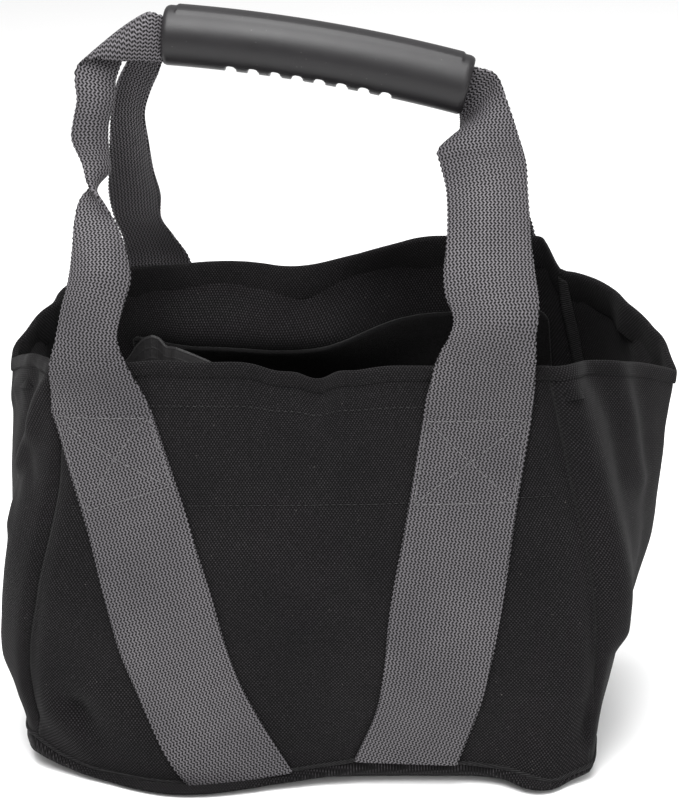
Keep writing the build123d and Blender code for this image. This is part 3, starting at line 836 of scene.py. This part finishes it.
# Edges of the free legs from the bag up to the grip: left edge, right edge, and how far the
# middle of the strap bows out between them.
LEGS = {
    "front_left": (
        ((-135, -68, 198), (-134, -68, 209), (-133, -68, 224), (-129, -66, 238), (-126, -62, 252),
         (-123, -56, 264), (-122, -48, 276), (-122, -39, 287), (-120, -30, 296), (-113, -22, 302),
         (-107, -19, 307), (-107, -18, 316), (-107, -16, 328), (-104, -12, 341), (-103, -8, 350),
         (-98, -2, 362), (-88, 1, 378), (-84, -4, 381), (-79, -3, 379), (-72, -2, 376)),
        ((-84, -68, 198), (-88, -68, 209), (-95, -68, 224), (-99, -67, 238), (-96, -62, 252),
         (-93, -55, 264), (-97, -44, 276), (-102, -37, 286), (-107, -37, 295), (-115, -34, 304),
         (-119, -27, 313), (-124, -22, 323), (-123, -20, 332), (-121, -18, 342), (-122, -15, 350),
         (-121, -13, 357), (-113, -14, 361), (-100, -14, 360), (-79, -8, 358), (-72, -3, 356)),
        (0, 0, 1, 2, 3, 5, 6, 5, 2, 0, -2, -4, -4, -4, -3, -1, 2, 3, 2, 1)),
    "front_right": (
        ((47, -66, 198), (49, -67, 209), (54, -67, 228), (60, -67, 240), (62, -65, 248), (58, -60, 258),
         (57, -53, 268), (58, -44, 280), (58, -36, 291), (57, -28, 301), (54, -22, 311), (53, -18, 317),
         (62, -10, 323), (64, -3, 328), (60, -2, 335)),
        ((99, -66, 198), (100, -67, 209), (101, -68, 228), (101, -67, 240), (102, -65, 248),
         (102, -59, 257), (100, -51, 267), (98, -42, 280), (97, -33, 290), (96, -25, 300), (95, -18, 311),
         (91, -14, 324), (86, -9, 338), (80, -6, 351), (68, -3, 354)),
        (0, 0, 1, 2, 3, 3, 4, 4, 5, 5, 5, 5, 3, -3, 0)),
    "rear_left": (
        ((-82, 68, 198), (-82, 72, 214), (-85, 71, 231), (-91, 62, 246), (-96, 54, 259), (-94, 44, 275),
         (-95, 33, 291), (-95, 23, 310), (-95, 17, 325), (-91, 12, 337), (-86, 9, 347), (-81, 6, 357),
         (-73, 4, 356)),
        ((-131, 68, 198), (-128, 72, 214), (-121, 72, 229), (-119, 66, 243), (-121, 56, 258),
         (-121, 45, 275), (-118, 35, 291), (-115, 26, 309), (-112, 19, 324), (-108, 13, 339),
         (-102, 9, 351), (-90, 6, 368), (-73, 4, 375)),
        (0, 0, 2, 3, 3, 5, 6, 6, 5, 5, 4, 3, 0)),
    "rear_right": (
        ((99, 68, 198), (99, 73, 214), (99, 74, 232), (97, 70, 248), (93, 62, 264), (90, 52, 280),
         (88, 40, 297), (87, 29, 314), (85, 18, 330), (80, 9, 346), (70, 4, 352)),
        ((47, 68, 198), (50, 73, 214), (51, 74, 232), (54, 70, 248), (56, 62, 264), (58, 52, 280),
         (60, 40, 296), (61, 28, 310), (62, 16, 322), (62, 8, 329), (62, 4, 334)),
        (0, 0, 2, 3, 4, 5, 6, 6, 5, 3, 0)),
}
RIM_CLEAR = 226.0                                # the rim's height at the back corners
LEFT_END, RIGHT_END = 0.3704, 0.3451             # heights, in metres, of the grip's two ends
for name, (left, right, bow) in LEGS.items():
    strip = edge_strip(left, right, bow)
    gap = strap_tops[name] - strip[0]
    fade = 1 - smooth(np.arange(len(strip)) * RUN_STEP / 30.0)
    strip = strip + gap[None] * fade[:, None, None]
    # Up to the rim the strap stands against the bag; above it, the free leg is a piece of its own.
    over = int(np.argmax(strip[:, :, 2].mean(axis=1) > RIM_CLEAR))
    piece, _ = strap_solid(f"{name}_rim_webbing", strip[:over + 1])
    dress(piece, "bag", WEBBING, "webbing")
    piece, _ = strap_solid(f"{name}_free_webbing", strip[over:])
    dress(piece, "bag", WEBBING, "webbing", f"{name}_leg")
    top, base = LEFT_END if "left" in name else RIGHT_END, RIM_CLEAR * MM
    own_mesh(piece)
for node in ("front_strap_core", "rear_strap_core"):
    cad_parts[node].data.materials.clear()
    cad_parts[node].data.materials.append(WEBBING)


# ---------------------------------------------------------------- grip
GRIP_LONG, GRIP_ROUND, GRIP_BEND, GRIP_TILT = 149.0, 14.5, 780.0, math.radians(10)
GRIP_MIDDLE = np.array([-6.0, 0.0, 358.2])


def grip_point(distance, across, height):
    """Places in and around the bowed grip: along it, towards the back, and up."""
    turn = distance / GRIP_BEND
    rise = GRIP_BEND * (1 - math.cos(GRIP_LONG / GRIP_BEND / 2)) / 2 - GRIP_BEND
    x = (GRIP_BEND + height) * np.sin(turn)
    z = rise + (GRIP_BEND + height) * np.cos(turn)
    c, s = math.cos(GRIP_TILT), math.sin(GRIP_TILT)
    return np.stack([GRIP_MIDDLE[0] + x * c + z * s, across + 0 * x, GRIP_MIDDLE[2] - x * s + z * c], axis=-1)


def make_grip():
    half = GRIP_LONG / 2
    along = [(-half + 14, 9.9), (-half + 10, 10.2), (-half + 4, 11.0), (-half + 0.8, 11.2), (-half, 12.0),
             (-half - 0.05, 12.8), (-half + 0.3, 13.5), (-half + 1.1, 14.1), (-half + 2.3, GRIP_ROUND)]
    body = np.linspace(-half + 3.4, half - 3.4, 230)
    along += [(d, GRIP_ROUND) for d in body] + [(-d, r) for d, r in reversed(along)]
    angle = np.linspace(0, 2 * math.pi, 97)[:-1]
    rings = []
    for i, (d, radius) in enumerate(along):
        across, height = radius * np.sin(angle), radius * np.cos(angle)
        if 8 < i < len(along) - 9:
            strip = smooth((7.6 - np.abs(across)) / 1.1) * (height > 0) * smooth((half - 5 - abs(d)) / 1.2)
            height = height + 0.9 * strip
            across = across * (1 + 0.004 * np.sin(d / 9))
            slot = (d + 2.0) / 11.0 + 3.5
            away = abs(slot - round(slot)) * 11.0
            if -0.5 < slot < 7.5:
                depth = 4.5 * math.sqrt(max(0.0, 1 - (away / 2.9) ** 4))
                height = np.maximum(height, -GRIP_ROUND + depth)
        rings.append(grip_point(np.full(len(angle), d), across, height))
    grid = np.array(rings)
    uv = [[(0.95 * k, d) for k in range(len(angle) + 1)] for d, _ in along]
    outer = grid_mesh("moulded_grip", grid, uv, closed=True)
    mesh = bmesh.new()
    mesh.from_mesh(outer.data)
    ends = [e for e in mesh.edges if e.is_boundary]
    bmesh.ops.bridge_loops(mesh, edges=ends)
    bmesh.ops.recalc_face_normals(mesh, faces=mesh.faces)
    mesh.to_mesh(outer.data)
    mesh.free()
    return dress(outer, "grip", RUBBER, "grip_rubber", "grip_sleeve")


make_grip()


# ---------------------------------------------------------------- liner and sand
POUCH_LEVELS = (8, 26, 60, 100, 112, 124, 134, 146, 156)
POUCH_REACH = (
    (136, 150, 164, 165, 161, 157, 151, 142, 130),   # left
    (108, 119, 127, 139, 139, 139, 137, 130, 118),   # right
    (56, 62, 65, 63, 60, 58, 54, 49, 42),            # front
    (56, 60, 60, 56, 51, 42, 35, 30, 25),            # back
)


def pouch(name, skin, top, wrinkle):
    """The filled liner: a soft pillow, narrower at the top so that it comes out through the mouth."""
    angle = np.linspace(0, 2 * math.pi, 241)[:-1]
    c, s = np.cos(angle), np.sin(angle)
    rings = []

    def ring(z, scale, lift=0.0):
        left, right, front, back = (np.interp(z, POUCH_LEVELS, reach) for reach in POUCH_REACH)
        level = np.where(c < 0, left, right) - skin
        deep = np.where(s < 0, front, back) - skin
        x = scale * level * np.sign(c) * np.abs(c) ** 0.72
        y = scale * deep * np.sign(s) * np.abs(s) ** 0.72
        rings.append(np.stack([x, y, np.full_like(x, z + lift)], axis=1))

    for scale in (0.05, 0.4, 0.75, 0.93):
        ring(8, scale, skin - 5.0)
    for z in np.linspace(8, 148, 48):
        ring(z, 1.0, skin * (1 - z / 60) if z < 60 else 0)
    for scale in np.linspace(0.985, 0.03, 34):
        ring(148, scale, (top - 148 - skin) * (1 - scale ** 2.4) ** 0.8)
    grid = np.array(rings)
    n = grid_normals(grid, closed=True)
    bumps = 3.2 * soft_noise(grid, 42.0, 11) + 1.6 * soft_noise(grid, 17.0, 12)
    bumps += 0.5 * soft_noise(grid, 7.0, 13)
    high = smooth((grid[..., 2] - 20) / 30)
    grid = grid + n * (wrinkle * high * bumps - 1.5 * wrinkle)[..., None]
    uv = [[(k * 2.6, r * 3.0) for k in range(len(angle) + 1)] for r in range(len(grid))]
    return close_ends(grid_mesh(name, grid, uv, closed=True))


dress(pouch("sand_pillow", 2.6, 158, 0.8), "liner", SAND, "sand", "sand_fill")
skin = thicken(pouch("liner_pouch", 0.0, 160, 1.0), 0.6)
dress(skin, "liner", LINER, "liner_cloth", "liner_bag")


def sheet_piece(name, grid, thickness, slot_name, material, *nodes):
    uv = metric_uv(grid.shape[0], grid.shape[1], 1.2, 1.2)
    piece = thicken(grid_mesh(name, grid, uv), thickness, offset=0.0)
    return dress(piece, "liner", material, slot_name, *nodes)


u, v = np.meshgrid(np.linspace(-1, 1, 120), np.linspace(-1, 1, 36))
flap_x, flap_y = -4 + 98 * u * (1 - 0.06 * v ** 4), 25 * v * (1 - 0.12 * u ** 6)
flap = np.stack([flap_x, flap_y, 161.5 - 2.5 * u ** 4 - 1.5 * v ** 2], axis=2)
flap[..., 2] += 1.1 * soft_noise(flap, 24.0, 21) + 0.5 * soft_noise(flap, 9.0, 22)
sheet_piece("pouch_flap", flap, 1.4, "liner_cloth", LINER, "liner_flap")

turn, w = np.meshgrid(np.linspace(0, math.pi, 30), np.linspace(-6, 6, 9))
tab_x, tab_z = -4 + 13 * np.cos(turn) * (1 - 0.15 * np.sin(turn)), 161.8 + 8.5 * np.sin(turn) ** 0.8
tab = np.stack([tab_x, w, tab_z], axis=2)
sheet_piece("pull_tab", tab, 1.5, "webbing", WEBBING, "liner_pull_tab")

# The ear's upper edge, as (x, z).
EAR_TOP = ((-108, 206), (-100, 215), (-97, 220), (-93, 224), (-89, 225.5), (-85, 224),
           (-82, 221), (-76, 218.5), (-70, 216), (-61, 212), (-52, 206))
x = np.linspace(-106, -54, 70)
crest = np.interp(x, *zip(*EAR_TOP))
crest = blur(crest[:, None], 2, 0)[:, 0]
down = np.linspace(0, 1, 60)[:, None]
ear_y = -39 + 10 * (1 - down) ** 2 + 1.8 * np.sin(x[None] / 6.5) * down
ear_y -= 3 * bell(x[None] + 82, 3.0) * (1 - down)
ear = np.stack([x[None] + 0 * down, ear_y, crest[None] + (158 - crest[None]) * down], axis=2)
sheet_piece("pouch_ear", ear, 1.3, "liner_cloth", LINER, "liner_ear")


# ---------------------------------------------------------------- stitching
def surface_at(grid, row, col):
    """Places on a grid at fractional rows and columns."""
    row, col = np.asarray(row, float), np.asarray(col, float)
    row = np.clip(row, 0, grid.shape[0] - 1.001)
    col = np.clip(col, 0, grid.shape[1] - 1.001)
    r, c = row.astype(int), col.astype(int)
    a, b = (row - r)[:, None], (col - c)[:, None]
    return ((1 - a) * (1 - b) * grid[r, c] + (1 - a) * b * grid[r, c + 1]
            + a * (1 - b) * grid[r + 1, c] + a * b * grid[r + 1, c + 1])


def stitch_line(line, normals, length=2.6, gap=0.8, radius=0.33):
    """Short sunk stitches along a line of places: a list of (start, end, normal, radius)."""
    run = np.concatenate([[0], np.cumsum(np.linalg.norm(np.diff(line, axis=0), axis=1))])
    pick = lambda s, what: np.array([np.interp(s, run, what[:, k]) for k in range(3)])
    out = []
    at = gap
    while at + length < run[-1]:
        out.append((pick(at, line), pick(at + length, line), pick(at, normals), radius))
        at += length + gap
    return out


def stitches_mesh(name, stitches):
    """One mesh of small rounded stitches."""
    verts, faces = [], []
    profile = ((0.0, 0.25), (0.12, 0.8), (0.5, 1.0), (0.88, 0.8), (1.0, 0.25))
    for start, end, normal, radius in stitches:
        run = end - start
        out = normal / np.linalg.norm(normal)
        side = np.cross(run, out)
        side /= np.linalg.norm(side)
        base = len(verts)
        for along, fat in profile:
            sink = radius * (4 * (along - 0.5) ** 2)
            centre = start + run * along + out * (0.2 - 0.6 * sink)
            for k in range(6):
                a = k * math.pi / 3
                verts.append(centre + radius * fat * (math.cos(a) * side + math.sin(a) * out))
        for i in range(len(profile) - 1):
            for k in range(6):
                a, b = base + 6 * i + k, base + 6 * i + (k + 1) % 6
                faces.append((a, b, b + 6, a + 6))
        faces.append(tuple(base + k for k in range(5, -1, -1)))
        faces.append(tuple(base + 24 + k for k in range(6)))
    mesh = bpy.data.meshes.new(name)
    mesh.from_pydata((np.array(verts) * MM).tolist(), [], faces)
    mesh.shade_smooth()
    piece = bpy.data.objects.new(name, mesh)
    bpy.context.scene.collection.objects.link(piece)
    return close_ends(piece)


box_rows = []
for name, front in strap_fronts.items():
    n = grid_normals(front, closed=False)
    top = len(front) - 3
    low = top - 42 / RUN_STEP
    left, right = 3.0, len(ACROSS) - 4.0
    corners = [(top, left), (top, right), (low, right), (low, left)]
    for a, b in zip(corners, corners[1:] + corners[:1]):
        box_rows.append((front, n, a, b))
    box_rows.append((front, n, corners[0], corners[2]))
    box_rows.append((front, n, corners[1], corners[3]))
stitches = []
for front, n, a, b in box_rows:
    steps = np.linspace(0, 1, 60)
    start, end = ACROSS[int(a[1])], ACROSS[int(b[1])]
    rows, t = a[0] + (b[0] - a[0]) * steps, start + (end - start) * steps
    cols = np.interp(t, ACROSS, np.arange(len(ACROSS)))
    outwards = surface_at(n, rows, cols) * np.sign(n[0, 0, 1]) * np.sign(front[0, 0, 1])
    stitches += stitch_line(surface_at(front, rows, cols), outwards)
dress(stitches_mesh("strap_box_sewing", stitches), "bag", GREY_THREAD, "thread", "box_stitches")

stitches = []
for first, last in ((0, COLS["front"]), (starts[2], starts[3])):
    low, high = LOOP_ROWS if first == 0 else HOOK_ROWS
    for row in (low + 0.8, high - 0.8):
        rows, cols = np.full(200, row), np.linspace(first + 2.5, last - 2.5, 200)
        line, normals = surface_at(shell, rows, cols), surface_at(shell_out, rows, cols)
        stitches += stitch_line(line, normals, 2.4, 1.0, 0.24)
dress(stitches_mesh("tape_sewing", stitches), "bag", BLACK_THREAD, "thread", "tape_stitches")


# ---------------------------------------------------------------- camera, floor and light
def look_at(piece, target, roll=0.0):
    direction = (Vector(target) - piece.location).normalized()
    turn = direction.to_track_quat("-Z", "Y")
    piece.rotation_euler = (turn.to_matrix() @ Matrix.Rotation(math.radians(roll), 3, "Z")).to_euler()


def orbit(target, azimuth, elevation, distance):
    a, e = math.radians(azimuth), math.radians(elevation)
    back = Vector((math.sin(a) * math.cos(e), -math.cos(a) * math.cos(e), math.sin(e)))
    return Vector(target) + back * distance


def add_camera():
    data = bpy.data.cameras.new("camera")
    camera = bpy.data.objects.new("camera", data)
    bpy.context.scene.collection.objects.link(camera)
    data.lens = 112.0
    data.clip_start, data.clip_end = 0.05, 20.0
    target = (0.0, 0.0, 0.179)
    camera.location = orbit(target, 6.0, 22.0, 1.27)
    look_at(camera, target, roll=-1.7)
    bpy.context.scene.camera = camera


def add_light(name, azimuth, elevation, distance, size, power, target=(0, 0, 0.18)):
    data = bpy.data.lights.new(name, "AREA")
    data.shape = "DISK"
    data.size = size
    data.energy = power
    lamp = bpy.data.objects.new(name, data)
    bpy.context.scene.collection.objects.link(lamp)
    lamp.location = orbit(target, azimuth, elevation, distance)
    look_at(lamp, target)


def add_floor():
    n = Nodes("studio_floor", roughness=0.9, specular=0.1)
    n.set("Base Color", (0.93, 0.93, 0.93, 1.0))
    span = 6.0
    mesh = bpy.data.meshes.new("studio_floor")
    corners = [(-span, -span, 0), (span, -span, 0), (span, span, 0), (-span, span, 0)]
    mesh.from_pydata(corners, [], [(0, 1, 2, 3)])
    mesh.materials.append(n.material)
    floor = bpy.data.objects.new("studio_floor", mesh)
    bpy.context.scene.collection.objects.link(floor)


def add_world():
    world = bpy.data.worlds.new("studio")
    world.use_nodes = True
    background = world.node_tree.nodes["Background"]
    background.inputs[0].default_value = (1.0, 1.0, 1.0, 1.0)
    background.inputs[1].default_value = 0.65
    bpy.context.scene.world = world


add_camera()
add_floor()
add_world()
add_light("key", -12, 58, 1.7, 1.0, 24)
add_light("fill", 35, 30, 1.8, 1.2, 8)
add_light("top", 10, 84, 1.5, 1.3, 30)
bpy.context.scene.view_settings.view_transform = "Standard"
